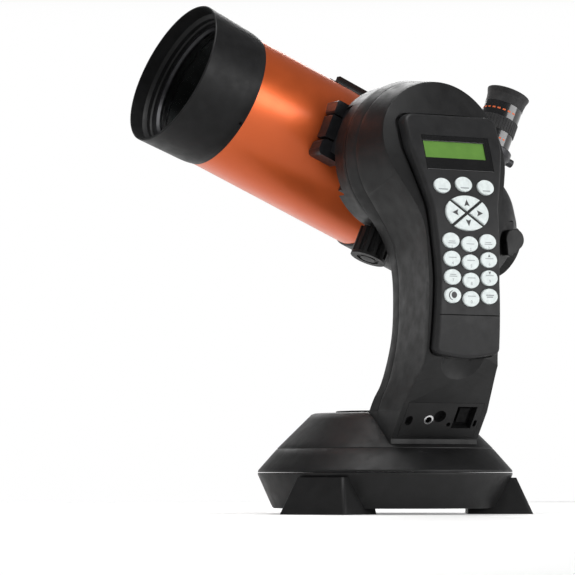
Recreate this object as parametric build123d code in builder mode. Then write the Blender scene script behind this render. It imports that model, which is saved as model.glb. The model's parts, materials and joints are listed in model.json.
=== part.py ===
"""Computerised Maksutov telescope: catadioptric tube on a motorised single-arm altazimuth mount.

Frame: +Z up, origin on the azimuth axis in the plane of the three feet. The altitude axis runs
along Y at x = 0. The arm stands on the -Y side, the tube hangs on the +Y side and points towards
-X and upwards.
"""
from build123d import *
from math import atan2, cos, radians, sin, sqrt
import os

os.makedirs("parts", exist_ok=True)

# ---------------------------------------------------------------- driving dimensions (mm, degrees)
ALT_HEIGHT = 294.5      # altitude axis above the feet
ELEVATION = 23.0        # stored pointing angle of the tube
TUBE_OFFSET = 60.0      # optical axis beside the azimuth axis
RUNNING = 0.06          # radial clearance of shafts and sliding barrels
GAP = 0.3               # clearance between bodies that pass each other

TUBE_R = 59.0
TUBE_WALL = 1.6
CELL_FRONT = 184.0      # stations along the optical axis, measured from the altitude axis
CELL_BACK = 131.0
CELL_FRONT_R = 62.4
REAR_CELL_FRONT = -27.0
REAR_CELL_R = 60.4
REAR_END = -163.0
BULKHEAD = -104.0
CORRECTOR_EDGE = 160.0
CORRECTOR_R = 53.6
CORRECTOR_THICK = 10.0
CORRECTOR_SPHERE = 160.0
BAFFLE_TUBE_R = 12.8
MIRROR_R = 53.0
MIRROR_STATION = -82.0
FOCUS_SCREW_AT = (-14.0, 33.0)      # up, away from the arm
EYEPIECE_STATION = -122.0
BARREL_R = 15.85
VISUAL_BACK_TOP = 78.5
SOCKET_LENGTH = 40.0
FLIP_PIVOT = (-150.0, -1.0)         # station, height
FLIP_REACH = 28.0
FAR_SHAFT_END = 34.0                # the mirror's shaft ends this far beyond the optical axis
LEVER_FLOOR = -40.0                 # beside the optical axis, towards the arm
LEVER_POCKET_R = 16.6

SEAM_Y = -43.4          # inner face of the arm
SADDLE_R = 62.0
SADDLE_FACE = -24.0
JAW_FACE = -13.0
DOVETAIL_HALF = 22.0
DOVETAIL_BACK = -23.6
DOVETAIL_FRONT = -9.0
DOVETAIL_SPAN = (-78.0, 57.0)
SADDLE_CLEAR = 0.8      # running gap between the saddle and the arm
CLAMP_STATION = -7.0    # the clamping screw sits a little behind the altitude axis
CLAMP_SIDE = JAW_FACE - 6.0 - TUBE_OFFSET
SHAFT_R = 12.0

ARM_SPLIT_Y = -58.0
ARM_WALL = 3.4
ARM_FOOT_Z = 57.2
ARM_FOOT_HALF = 41.4
HEAD_R = 64.0
CROWN_CENTRE = (216.0, 180.0)       # y, z of the axis that the arm skin and hand control curve about
SKIN_R = 345.0
CROWN_AXIS_Y = 18.0

HC_FACE_R = 350.0
HC_SEAM_R = 343.0
HC_BACK_R = 337.0
HC_BELLY_R = 327.0     # back of the narrower belly in the middle of its rear
HC_BELLY_IN = 8.0       # the belly stands this far inside the outline
HC_WALL = 2.5
KEY_TRAVEL = 1.0        # the keys stand this much and a little more above the face

BASE_CREASE_Z = 34.0
BASE_CREASE_R = 106.3
BASE_BOTTOM_Z = 4.6
HUB_R = 18.0
BATTERY_LID_R = 37.0
BATTERY_LID_Y = 8.0
BOLT_CIRCLE_R = 80.0
BOLT_HOLE_R = 4.0
POD_ANGLES = (-30.0, 90.0, 210.0)

# ---------------------------------------------------------------- frames
TILT = radians(ELEVATION)
AHEAD = Vector(-cos(TILT), 0, sin(TILT))        # along the optical axis, towards the sky
ABOVE = Vector(sin(TILT), 0, cos(TILT))         # square to it, towards the eyepiece side
TUBE_CENTRE = Vector(0, TUBE_OFFSET, ALT_HEIGHT)
OPTICAL_AXIS = Axis(TUBE_CENTRE, AHEAD)
ALTITUDE_AXIS = Axis((0, 0, ALT_HEIGHT), (0, 1, 0))


def tube_point(station, up=0.0, side=0.0):
    """Point in the tube's own frame: station ahead, height above and +Y distance from its axis."""
    return TUBE_CENTRE + AHEAD * station + ABOVE * up + Vector(0, 1, 0) * side


def cross_plane(station, up=0.0, side=0.0):
    """Plane square to the optical axis: sketch x is up, sketch y is +Y, normal is ahead."""
    return Plane(origin=tube_point(station, up, side), x_dir=ABOVE, z_dir=AHEAD)


def height_plane(up, station=0.0, side=0.0):
    """Plane whose normal points up from the tube: sketch x is ahead, sketch y is -Y."""
    return Plane(origin=tube_point(station, up, side), x_dir=AHEAD, z_dir=ABOVE)


def side_plane(y):
    """Plane square to the altitude axis: sketch x is ahead, sketch y is up, normal is +Y."""
    return Plane(origin=(0, y, ALT_HEIGHT), x_dir=AHEAD, z_dir=(0, 1, 0))


def sketch_of(plane, points):
    with BuildSketch(plane) as face:
        with BuildLine():
            Polyline(*points, close=True)
        make_face()
    return face.sketch


def turned(points, mode=Mode.ADD):
    """Revolve (radius, station) points about the optical axis."""
    profile = Plane(origin=TUBE_CENTRE, x_dir=ABOVE, z_dir=ABOVE.cross(AHEAD))
    revolve(sketch_of(profile, points), axis=OPTICAL_AXIS, mode=mode)


def turned_about(origin, along, across, points, mode=Mode.ADD):
    """Revolve (radius, distance) points about any axis through origin."""
    profile = Plane(origin=origin, x_dir=across, z_dir=across.cross(along))
    revolve(sketch_of(profile, points), axis=Axis(origin, along), mode=mode)


def rod(plane, radius, length, mode=Mode.ADD, at=((0, 0),)):
    """Round bars grown from a plane along its normal."""
    with BuildSketch(plane) as disc:
        with Locations(*at):
            Circle(radius)
    extrude(disc.sketch, amount=length, mode=mode)


def block(plane, width, height, length, mode=Mode.ADD, at=((0, 0),), turn=0.0):
    """Rectangular bars grown from a plane along its normal."""
    with BuildSketch(plane) as rect:
        with Locations(*at):
            Rectangle(width, height, rotation=turn)
    extrude(rect.sketch, amount=length, mode=mode)


def finish(builder, label):
    builder.part.label = label
    export_step(builder.part, f"parts/{label}.step")


# ================================================================ optical tube
with BuildPart() as main_tube:
    turned([
        (TUBE_R - TUBE_WALL, REAR_CELL_FRONT - 14), (TUBE_R, REAR_CELL_FRONT - 14),
        (TUBE_R, CELL_BACK), (TUBE_R - TUBE_WALL, CELL_BACK),
    ])
finish(main_tube, "main_tube")

with BuildPart() as front_cell:
    turned([
        (CELL_FRONT_R - 1.8, CELL_FRONT), (CELL_FRONT_R - 0.5, CELL_FRONT),
        (CELL_FRONT_R, CELL_FRONT - 0.6), (60.9, 142.0), (60.6, 138.4), (60.1, 135.2),
        (59.5, 132.6), (TUBE_R + 0.2, CELL_BACK), (TUBE_R - TUBE_WALL, CELL_BACK),
        (TUBE_R - TUBE_WALL, CELL_BACK - 10), (51.2, CELL_BACK - 10), (51.2, 149.5),
        (CORRECTOR_R + 0.1, 149.5), (CORRECTOR_R + 0.1, CORRECTOR_EDGE), (56.0, CORRECTOR_EDGE),
        (56.0, 166.0), (57.2, 167.2), (57.2, 170.4), (58.6, 171.6), (CELL_FRONT_R - 2.4, 173.0),
    ])
    # set screw that locks the cell on the tube, seen low on the arm side
    screw_turn = radians(-28.0)
    outward = ABOVE * sin(screw_turn) + Vector(0, -1, 0) * cos(screw_turn)
    hole_plane = Plane(origin=tube_point(134.0) + outward * 66, x_dir=AHEAD, z_dir=outward * -1)
    rod(hole_plane, 1.7, 8.4, Mode.SUBTRACT)
finish(front_cell, "front_cell")

with BuildPart() as retaining_ring:
    turned([
        (51.6, CORRECTOR_EDGE), (55.9, CORRECTOR_EDGE), (55.9, CORRECTOR_EDGE + 3.4),
        (53.0, CORRECTOR_EDGE + 3.4), (51.6, CORRECTOR_EDGE + 1.2),
    ])
    with BuildSketch(cross_plane(CORRECTOR_EDGE + 3.4)):
        with PolarLocations(54.0, 2):
            Rectangle(2.4, 1.6)
    extrude(amount=-1.4, mode=Mode.SUBTRACT)
finish(retaining_ring, "retaining_ring")


def sphere_centre(edge_station, rim_r):
    """Station of the centre of the sphere that passes the rim and sags away from the sky."""
    sag = CORRECTOR_SPHERE - sqrt(CORRECTOR_SPHERE ** 2 - rim_r ** 2)
    return edge_station - sag + CORRECTOR_SPHERE


with BuildPart() as corrector_lens:
    front_centre = sphere_centre(CORRECTOR_EDGE, CORRECTOR_R)
    turned([
        (0, CORRECTOR_EDGE), (CORRECTOR_R, CORRECTOR_EDGE),
        (CORRECTOR_R, CORRECTOR_EDGE - CORRECTOR_THICK - 12),
        (0, CORRECTOR_EDGE - CORRECTOR_THICK - 12),
    ])
    with BuildSketch(Plane(origin=TUBE_CENTRE, x_dir=ABOVE, z_dir=ABOVE.cross(AHEAD))) as front:
        with Locations((0, front_centre)):
            Circle(CORRECTOR_SPHERE)
        with Locations((-CORRECTOR_SPHERE, front_centre)):
            Rectangle(2 * CORRECTOR_SPHERE, 4 * CORRECTOR_SPHERE, mode=Mode.SUBTRACT)
    revolve(front.sketch, axis=OPTICAL_AXIS, mode=Mode.SUBTRACT)
    with BuildSketch(Plane(origin=TUBE_CENTRE, x_dir=ABOVE, z_dir=ABOVE.cross(AHEAD))) as back:
        with Locations((0, front_centre - CORRECTOR_THICK)):
            Circle(CORRECTOR_SPHERE)
        with Locations((-CORRECTOR_SPHERE, front_centre)):
            Rectangle(2 * CORRECTOR_SPHERE, 4 * CORRECTOR_SPHERE, mode=Mode.SUBTRACT)
    revolve(back.sketch, axis=OPTICAL_AXIS, mode=Mode.INTERSECT)
    # flat seat ground on the rear edge
    turned([
        (CORRECTOR_R - 3.0, 149.5), (CORRECTOR_R + 2, 149.5),
        (CORRECTOR_R + 2, 130.0), (CORRECTOR_R - 3.0, 130.0),
    ], Mode.SUBTRACT)
finish(corrector_lens, "corrector_lens")

with BuildPart() as secondary_baffle:
    turned([(0, 136.0), (0, 144.5), (16.0, 144.5), (18.5, 112.0), (17.3, 112.0), (15.2, 136.0)])
    add(corrector_lens.part, mode=Mode.SUBTRACT)
    if len(secondary_baffle.solids()) > 1:
        keep = secondary_baffle.solids().sort_by(SortBy.VOLUME)[-1]
        add(keep, mode=Mode.REPLACE)
finish(secondary_baffle, "secondary_baffle")


def dome_profile(inset):
    """Half section of the rear cell's skin, drawn in (radius, station)."""
    shoulder = REAR_CELL_R - inset
    return [
        (shoulder, -97.0), (58.3 - inset, -114.0), (53.2 - 0.93 * inset, -130.0 + 0.35 * inset),
        (46.0 - 0.8 * inset, -144.0 + 0.6 * inset), (36.5 - 0.6 * inset, -155.0 + 0.8 * inset),
        (24.0, REAR_END + inset),
    ]


def within_dome(mode=Mode.INTERSECT):
    """Keep what lies inside the rear cell's outer skin."""
    with BuildSketch(Plane(origin=TUBE_CENTRE, x_dir=ABOVE, z_dir=ABOVE.cross(AHEAD))) as half:
        with BuildLine():
            outer = dome_profile(0)
            Spline(*outer, tangents=((0, -1), (-1, -0.18)))
            Polyline(outer[-1], (0, REAR_END), (0, BULKHEAD + 20), (REAR_CELL_R, BULKHEAD + 20),
                     outer[0])
        make_face()
    revolve(half.sketch, axis=OPTICAL_AXIS, mode=mode)


SEAT_TOP = VISUAL_BACK_TOP - 25.0
SEAT_R = 22.6
SOCKET_FLANGE_R = 20.4
with BuildPart() as rear_cell:
    with BuildSketch(Plane(origin=TUBE_CENTRE, x_dir=ABOVE, z_dir=ABOVE.cross(AHEAD))) as shell:
        with BuildLine():
            outer = dome_profile(0)
            inner = dome_profile(3.2)
            Spline(*outer, tangents=((0, -1), (-1, -0.18)))
            Polyline(outer[-1], (19.2, REAR_END), (19.2, REAR_END + 3.2), inner[-1])
            Spline(*inner[::-1], tangents=((1, 0.18), (0, 1)))
            Polyline(
                inner[0], (REAR_CELL_R - 3.2, REAR_CELL_FRONT - 14),
                (TUBE_R, REAR_CELL_FRONT - 14), (TUBE_R, REAR_CELL_FRONT),
                (TUBE_R + 0.5, REAR_CELL_FRONT), (REAR_CELL_R, REAR_CELL_FRONT - 1.4), outer[0],
            )
        make_face()
    revolve(shell.sketch, axis=OPTICAL_AXIS)
    # bulkhead that carries the baffle tube and the mirror's focusing screw
    turned([
        (BAFFLE_TUBE_R, BULKHEAD), (REAR_CELL_R - 2.6, BULKHEAD),
        (REAR_CELL_R - 2.6, BULKHEAD + 4), (BAFFLE_TUBE_R, BULKHEAD + 4),
    ])
    # seat of the eyepiece socket on top
    rod(height_plane(SEAT_TOP - 11.0, EYEPIECE_STATION), SEAT_R, 11.0)
    rod(height_plane(SEAT_TOP, EYEPIECE_STATION), SOCKET_FLANGE_R + 0.2, 10.0, Mode.SUBTRACT)
    rod(height_plane(30.0, EYEPIECE_STATION), 18.0, 40.0, Mode.SUBTRACT)
    # pocket that the flip lever turns in
    lever_seat = Plane(
        origin=tube_point(*FLIP_PIVOT, LEVER_FLOOR), x_dir=AHEAD, z_dir=(0, -1, 0)
    )
    with BuildPart(mode=Mode.PRIVATE) as lever_floor:
        rod(lever_seat.offset(-3.0), LEVER_POCKET_R + 3.0, 5.0)
        within_dome()
    add(lever_floor.part)
    rod(lever_seat, LEVER_POCKET_R, 20.0, Mode.SUBTRACT)
    # camera port spigot behind
    turned([
        (19.2, REAR_END + 3.2), (22.0, REAR_END + 3.2), (22.0, REAR_END - 6.0),
        (19.2, REAR_END - 6.0),
    ])
    # bosses of the flip mirror shaft: open under the lever, blind on the far side
    near_boss = lever_seat.offset(-18.0)
    rod(near_boss, 8.0, 18.0)
    rod(near_boss.offset(-6.0), 3.0 + RUNNING, 24.0, Mode.SUBTRACT)
    with BuildPart(mode=Mode.PRIVATE) as far_boss:
        rod(Plane(origin=tube_point(*FLIP_PIVOT, 22.0), x_dir=AHEAD, z_dir=(0, 1, 0)), 8.0, 18.0)
        within_dome()
    add(far_boss.part)
    rod(Plane(origin=tube_point(*FLIP_PIVOT, 16.0), x_dir=AHEAD, z_dir=(0, 1, 0)),
        3.0 + RUNNING, FAR_SHAFT_END + 0.4 - 16.0, Mode.SUBTRACT)
    # boss of the focusing screw
    focus_start = cross_plane(REAR_END + 0.5, *FOCUS_SCREW_AT)
    rod(focus_start, 8.0, 22.0)
    rod(focus_start, 3.0 + RUNNING, 80.0, Mode.SUBTRACT)
finish(rear_cell, "rear_cell")

with BuildPart() as primary_baffle_tube:
    turned([
        (11.2, BULKHEAD - 2), (14.6, BULKHEAD - 2), (14.6, BULKHEAD), (BAFFLE_TUBE_R, BULKHEAD),
        (BAFFLE_TUBE_R, 24.0), (11.8, 24.0),
    ])
finish(primary_baffle_tube, "primary_baffle_tube")

with BuildPart() as primary_mirror:
    turned([
        (BAFFLE_TUBE_R + RUNNING, -92.0), (MIRROR_R, -92.0), (MIRROR_R, MIRROR_STATION + 4.0),
        (40.0, MIRROR_STATION + 2.2), (27.0, MIRROR_STATION + 0.8), (16.5, MIRROR_STATION),
        (16.5, MIRROR_STATION + 4.0), (BAFFLE_TUBE_R + RUNNING, MIRROR_STATION + 4.0),
    ])
    rod(cross_plane(-93.0, *FOCUS_SCREW_AT), 3.0 + RUNNING, 18.0, Mode.SUBTRACT)
finish(primary_mirror, "primary_mirror")

with BuildPart() as focus_knob:
    knob_base = cross_plane(REAR_END + 0.2, *FOCUS_SCREW_AT)
    rod(knob_base, 3.0, 92.0)
    rod(knob_base, 9.0, -13.0)
    fillet(focus_knob.edges().filter_by(GeomType.CIRCLE).sort_by(OPTICAL_AXIS)[0], 1.5)
    with BuildSketch(knob_base.offset(-12.0)):
        with PolarLocations(9.3, 18):
            Circle(0.8)
    extrude(amount=10.0, mode=Mode.SUBTRACT)
finish(focus_knob, "focus_knob")

with BuildPart() as visual_back:
    socket_bottom = tube_point(EYEPIECE_STATION, VISUAL_BACK_TOP - SOCKET_LENGTH)
    turned_about(socket_bottom, ABOVE, AHEAD, [
        (BARREL_R + RUNNING, 0), (18.0, 0), (18.0, 15.0), (SOCKET_FLANGE_R, 15.0),
        (SOCKET_FLANGE_R, 17.5), (18.6, 20.5), (18.6, 32.5), (20.6, 34.0), (20.6, 39.2),
        (19.8, SOCKET_LENGTH), (BARREL_R + RUNNING, SOCKET_LENGTH),
    ])
    screw_plane = Plane(
        origin=tube_point(EYEPIECE_STATION - 24.0, VISUAL_BACK_TOP - 3.4), x_dir=ABOVE, z_dir=AHEAD
    )
    rod(screw_plane, 2.0 + RUNNING, 9.0, Mode.SUBTRACT)
finish(visual_back, "visual_back")

with BuildPart() as eyepiece_clamp_screw:
    screw_head = Plane(
        origin=tube_point(EYEPIECE_STATION - 20.9, VISUAL_BACK_TOP - 3.4), x_dir=ABOVE,
        z_dir=AHEAD * -1,
    )
    rod(screw_head, 2.0, -4.6)
    rod(screw_head, 3.6, 5.6)
    with BuildSketch(screw_head):
        with PolarLocations(4.0, 10):
            Circle(0.55)
    extrude(amount=5.6, mode=Mode.SUBTRACT)
finish(eyepiece_clamp_screw, "eyepiece_clamp_screw")

with BuildPart() as photo_port_cap:
    turned([
        (0, REAR_END - 9.0), (23.4, REAR_END - 9.0), (24.2, REAR_END - 8.2),
        (24.2, REAR_END - 0.6), (22.3, REAR_END - 0.6), (22.3, REAR_END - 6.4),
        (0, REAR_END - 6.4),
    ])
    with BuildSketch(cross_plane(REAR_END - 8.0)):
        with PolarLocations(24.5, 36):
            Circle(0.6)
    extrude(amount=7.0, mode=Mode.SUBTRACT)
finish(photo_port_cap, "photo_port_cap")

# dovetail bar: wide side in the saddle, two cradle blocks against the tube
DOVETAIL_TAPER = 3.4
EAR_BACK = 40.0
END_EARS = [        # lower and upper height, front station and corner radius
    (-24.4, -10.4, 67.6, 4.6), (-8.6, 11.4, 66.6, 1.6), (12.6, 24.8, 66.4, 2.4),
]
with BuildPart() as dovetail_bar:
    depth = DOVETAIL_FRONT - DOVETAIL_BACK
    with BuildSketch(Plane(
        origin=tube_point(DOVETAIL_SPAN[0], 0, DOVETAIL_BACK - TUBE_OFFSET),
        x_dir=ABOVE, z_dir=AHEAD,
    )):
        with BuildLine():
            Polyline(
                (-DOVETAIL_HALF, 0), (DOVETAIL_HALF, 0), (DOVETAIL_HALF, 2.4),
                (DOVETAIL_HALF - DOVETAIL_TAPER, depth - 3.0), (DOVETAIL_HALF - 5.0, depth),
                (9.0, depth), (9.0, depth - 4.0), (2.0, depth - 4.0), (2.0, depth - 1.4),
                (-2.0, depth - 1.4), (-2.0, depth - 4.0), (-9.0, depth - 4.0), (-9.0, depth),
                (-DOVETAIL_HALF + 5.0, depth),
                (-DOVETAIL_HALF + DOVETAIL_TAPER, depth - 3.0), (-DOVETAIL_HALF, 2.4),
                close=True,
            )
        make_face()
    extrude(amount=DOVETAIL_SPAN[1] - DOVETAIL_SPAN[0])
    for station in (DOVETAIL_SPAN[1] - 13.0, -12.0):
        block(side_plane(DOVETAIL_FRONT - 1.5), 24.0, 38.0, 16.0, at=((station, 0),))
    # end bracket in front of the saddle: two rounded ears and a tongue between them
    for low, high, front, corner in END_EARS:
        with BuildSketch(side_plane(JAW_FACE + 2 * GAP)):
            with Locations(((EAR_BACK + front) / 2, (low + high) / 2)):
                RectangleRounded(front - EAR_BACK, high - low, corner)
        extrude(amount=22.0)
    turned([(0, -200.0), (TUBE_R, -200.0), (TUBE_R, 200.0), (0, 200.0)], Mode.SUBTRACT)
    rod(side_plane(DOVETAIL_BACK), 3.2, 6.0, Mode.SUBTRACT,
        at=((DOVETAIL_SPAN[1] - 13.0, 0), (-12.0, 0)))
finish(dovetail_bar, "dovetail_bar")

FINDER_SPAN = (-9.0, 43.5)
FINDER_TOP = 65.4
with BuildPart() as finder_bracket:
    with BuildSketch(cross_plane(FINDER_SPAN[0])):
        with BuildLine():
            Polyline(
                (50, -11.4), (60.4, -11.4), (62.0, -9.2), (FINDER_TOP, -10.8), (FINDER_TOP, -5.6),
                (62.0, -5.6), (62.0, 5.6), (FINDER_TOP, 5.6), (FINDER_TOP, 10.8), (62.0, 9.2),
                (60.4, 11.4), (50, 11.4), close=True,
            )
        make_face()
    extrude(amount=FINDER_SPAN[1] - FINDER_SPAN[0])
    turned([(0, -200.0), (TUBE_R, -200.0), (TUBE_R, 200.0), (0, 200.0)], Mode.SUBTRACT)
    rod(height_plane(55.0), 1.8, 20.0, Mode.SUBTRACT, at=((2.0, 0), (33.0, 0)))
finish(finder_bracket, "finder_bracket")

# ---------------------------------------------------------------- flip mirror and its lever
with BuildPart() as flip_mirror:
    pivot = tube_point(FLIP_PIVOT[0], FLIP_PIVOT[1], -17.0)
    rod(Plane(origin=pivot, x_dir=AHEAD, z_dir=(0, -1, 0)), 3.0, -LEVER_FLOOR + 0.4 - 17.0)
    rod(Plane(origin=pivot, x_dir=AHEAD, z_dir=(0, 1, 0)), 3.0, FAR_SHAFT_END + 17.0)
    carrier = Plane(
        origin=tube_point(FLIP_PIVOT[0] + FLIP_REACH, FLIP_PIVOT[1] + 1.0),
        x_dir=(AHEAD - ABOVE).normalized(), z_dir=(AHEAD + ABOVE).normalized(),
    )
    block(carrier, 38.0, 32.0, -3.0)
    block(carrier.offset(-3.0), 6.0, 32.0, -17.0, at=((-17.0, 0),))
finish(flip_mirror, "flip_mirror")

with BuildPart() as flip_mirror_knob:
    lever_centre = tube_point(FLIP_PIVOT[0], FLIP_PIVOT[1])
    lever_plane = Plane(
        origin=(lever_centre.X, TUBE_OFFSET + LEVER_FLOOR - 0.4, lever_centre.Z), x_dir=AHEAD,
        z_dir=(0, -1, 0),
    )
    # sketch x is ahead, sketch y is down from the tube
    with BuildSketch(lever_plane) as drop:
        Circle(9.2)
        with BuildLine():
            Polyline((-9.0, 1.8), (9.0, 1.8), (1.6, 15.6), (-1.6, 15.6), close=True)
        make_face()
    extrude(drop.sketch, amount=9.0)
    fillet(flip_mirror_knob.edges().group_by(Axis.Y)[0], 0.9)
finish(flip_mirror_knob, "flip_mirror_knob")

# ---------------------------------------------------------------- eyepiece
seat = tube_point(EYEPIECE_STATION, VISUAL_BACK_TOP + GAP)
with BuildPart() as eyepiece_barrel:
    turned_about(seat, ABOVE, AHEAD, [
        (13.6, -28.0), (BARREL_R - 0.4, -28.0), (BARREL_R, -27.4), (BARREL_R, 0), (13.6, 0),
    ])
finish(eyepiece_barrel, "eyepiece_barrel")

with BuildPart() as eyepiece_body:
    turned_about(seat, ABOVE, AHEAD, [
        (11.5, 0), (16.2, 0), (16.8, 0.8), (16.8, 14.0), (16.0, 14.0), (16.0, 26.0),
        (16.8, 26.0), (16.8, 39.0), (14.6, 39.0), (14.6, 42.0), (11.5, 42.0),
    ])
finish(eyepiece_body, "eyepiece_body")

with BuildPart() as eyepiece_grip:
    turned_about(seat, ABOVE, AHEAD, [(16.0, 14.0), (17.5, 14.0), (17.5, 26.0), (16.0, 26.0)])
    with BuildSketch(Plane(origin=seat + ABOVE * 14.0, x_dir=AHEAD, z_dir=ABOVE)):
        with PolarLocations(17.7, 40):
            Circle(0.6)
    extrude(amount=12.0, mode=Mode.SUBTRACT)
finish(eyepiece_grip, "eyepiece_grip")

with BuildPart() as eyecup:
    turned_about(seat, ABOVE, AHEAD, [
        (14.6, 39.0), (17.0, 39.0), (17.2, 43.0), (17.8, 47.0), (18.9, 50.4), (19.2, 51.6),
        (18.0, 51.6), (16.6, 48.0), (15.9, 42.0), (14.6, 42.0),
    ])
finish(eyecup, "eyecup")

with BuildPart() as eyepiece_lens:
    turned_about(seat, ABOVE, AHEAD, [(0, 34.0), (11.5, 34.0), (11.5, 38.5), (6.0, 39.4), (0, 39.8)])
finish(eyepiece_lens, "eyepiece_lens")

# ================================================================ saddle and altitude shaft
with BuildPart() as saddle_disc:
    with BuildSketch(Plane.XY.offset(ALT_HEIGHT)) as half_disc:
        with BuildLine():
            Polyline(
                (0, SEAM_Y + SADDLE_CLEAR), (SADDLE_R + 1.4, SEAM_Y + SADDLE_CLEAR),
                (SADDLE_R + 1.4, SEAM_Y + 5),
                (SADDLE_R, SEAM_Y + 8), (SADDLE_R, JAW_FACE - 2.5), (SADDLE_R - 2.5, JAW_FACE),
                (0, JAW_FACE), close=True,
            )
        make_face()
    revolve(half_disc.sketch, axis=ALTITUDE_AXIS)
    # channel for the dovetail bar, open at both ends, and room for the moving jaw
    with BuildSketch(cross_plane(-80.0, 0, SADDLE_FACE - TUBE_OFFSET)) as channel:
        top = DOVETAIL_HALF + GAP
        with BuildLine():
            Polyline(
                (top, 0), (top, 2.7), (top - DOVETAIL_TAPER * 0.98, 14.0), (-50.0, 14.0),
                (-50.0, 0), close=True,
            )
        make_face()
    extrude(channel.sketch, amount=160.0, mode=Mode.SUBTRACT)
    # captive clamping screw
    rod(height_plane(-70.0, CLAMP_STATION, CLAMP_SIDE), 4.0 + RUNNING, 24.0, Mode.SUBTRACT)
finish(saddle_disc, "saddle_disc")

with BuildPart() as saddle_jaw:
    with BuildSketch(cross_plane(-38.0, 0, SADDLE_FACE + GAP - TUBE_OFFSET)) as jaw:
        low = -(DOVETAIL_HALF + GAP)
        with BuildLine():
            Polyline(
                (low, 0), (low, 2.6), (low + 2.6, JAW_FACE - SADDLE_FACE - GAP),
                (-45.6, JAW_FACE - SADDLE_FACE - GAP), (-45.6, 0), close=True,
            )
        make_face()
    extrude(jaw.sketch, amount=76.0)
    rod(height_plane(-70.0, CLAMP_STATION, CLAMP_SIDE), 4.0 + RUNNING, 60.0, Mode.SUBTRACT)
finish(saddle_jaw, "saddle_jaw")

KNOB_R = 15.0
with BuildPart() as clamp_knob:
    knob_top = height_plane(-63.5, CLAMP_STATION, CLAMP_SIDE)
    rod(knob_top, 4.0, 35.5)
    rod(knob_top, 9.0, 1.2)
    rod(knob_top, KNOB_R, -24.5)
    with BuildSketch(knob_top):
        with PolarLocations(KNOB_R + 0.8, 12):
            Circle(2.4)
    extrude(amount=-22.0, mode=Mode.SUBTRACT)
    rod(knob_top.offset(-24.5), 9.5, 1.2, Mode.SUBTRACT)
    rod(knob_top.offset(-24.5), 6.5, 1.2)
finish(clamp_knob, "clamp_knob")

with BuildPart() as altitude_shaft:
    shaft_y = SEAM_Y + SADDLE_CLEAR
    shaft_start = Plane.XZ.offset(-shaft_y).shift_origin((0, shaft_y, ALT_HEIGHT))
    rod(shaft_start, SHAFT_R, 29.0)
    with BuildSketch(shaft_start.offset(18.6)):
        Circle(27.0)
        with PolarLocations(27.0, 48):
            Circle(1.1, mode=Mode.SUBTRACT)
    extrude(amount=5.0)
finish(altitude_shaft, "altitude_shaft")

# ================================================================ fork arm
# half widths of the arm against height: at the inner face and at a plane well outside the skin
ARM_OUTER_PLANE = -132.0
ARM_INNER_SIDE = [
    (ARM_FOOT_HALF, 84.0), (32.0, 103.0), (24.0, 126.0), (19.6, 148.0), (18.4, 172.0),
    (20.0, 200.0), (25.6, 219.0),
]
ARM_OUTER_SIDE = [
    (41.0, 84.0), (39.8, 103.0), (35.6, 127.0), (35.2, 150.0), (34.6, 180.0),
    (35.4, 210.0), (37.0, 238.0),
]
HEAD_OUTER_R = 53.0


def arm_outline(y, side, head_r, inset):
    """Closed outline of the arm in the plane y: straight foot, curved neck and round head."""
    radius = head_r - inset
    meet = radians(-38.0 if side is ARM_INNER_SIDE else -12.0)
    points = [(w - inset, z) for w, z in side]
    joint = (radius * cos(meet), ALT_HEIGHT + radius * sin(meet))
    foot = ARM_FOOT_Z + inset
    start = -0.35 if side is ARM_INNER_SIDE else -0.05
    tangent = (-sin(meet), cos(meet)) if side is ARM_OUTER_SIDE else (sin(-meet), cos(meet))
    with BuildSketch(Plane(origin=(0, y, 0), x_dir=(1, 0, 0), z_dir=(0, -1, 0))) as outline:
        with BuildLine():
            Line((-points[0][0], foot), (points[0][0], foot))
            Line((points[0][0], foot), points[0])
            Spline(*points, joint, tangents=((start, 1), tangent))
            ThreePointArc(joint, (0, ALT_HEIGHT + radius), (-joint[0], joint[1]))
            left = [(-x, z) for x, z in points]
            Spline((-joint[0], joint[1]), *left[::-1],
                   tangents=((tangent[0], -tangent[1]), (start, -1)))
            Line(left[0], (left[0][0], foot))
        make_face()
    return outline.sketch


def barrel(inset):
    """Solid whose outer skin is crowned both ways; the arm is cut to it."""
    radius = SKIN_R - inset
    centre_y, centre_z = CROWN_CENTRE
    with BuildSketch(Plane.YZ) as profile:
        with Locations((centre_y, centre_z)):
            Circle(radius)
        with Locations((CROWN_AXIS_Y + 500, centre_z)):
            Rectangle(1000, 1400, mode=Mode.SUBTRACT)
    return revolve(profile.sketch, axis=Axis((0, CROWN_AXIS_Y, 0), (0, 0, 1)),
                   mode=Mode.PRIVATE)


PANEL_LOW = (-78.0, 61.2)
PANEL_HIGH = (-99.5, 92.0)
PANEL_SLOPE = Vector(0, PANEL_HIGH[0] - PANEL_LOW[0], PANEL_HIGH[1] - PANEL_LOW[1]).normalized()
PANEL_W = 72.0
UNDERCUT_RUN = 48.0     # the slope runs on above the panel until it leaves the skin
PANEL_H = 33.0
JACK_AT = (-12.2, 0.2)


def arm_volume(inset):
    """Full volume of the arm, shrunk by inset all round except at its inner face."""
    with BuildPart() as volume:
        loft([
            arm_outline(SEAM_Y - inset, ARM_INNER_SIDE, HEAD_R, inset),
            arm_outline(ARM_OUTER_PLANE, ARM_OUTER_SIDE, HEAD_OUTER_R, inset),
        ], ruled=True)
        add(barrel(inset), mode=Mode.INTERSECT)
        slope = PANEL_SLOPE
        shift = Vector(0, slope.Z, -slope.Y) * inset
        top = Vector(0, *PANEL_HIGH) + shift + slope * UNDERCUT_RUN
        undercut = [
            (PANEL_LOW[0] + shift.Y, ARM_FOOT_Z - 5),
            (PANEL_LOW[0] + shift.Y, PANEL_LOW[1] + shift.Z),
            (top.Y, top.Z), (-150.0, top.Z), (-150.0, ARM_FOOT_Z - 5),
        ]
        extrude(sketch_of(Plane.YZ, undercut), amount=90, both=True, mode=Mode.SUBTRACT)
    return volume.part


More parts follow.
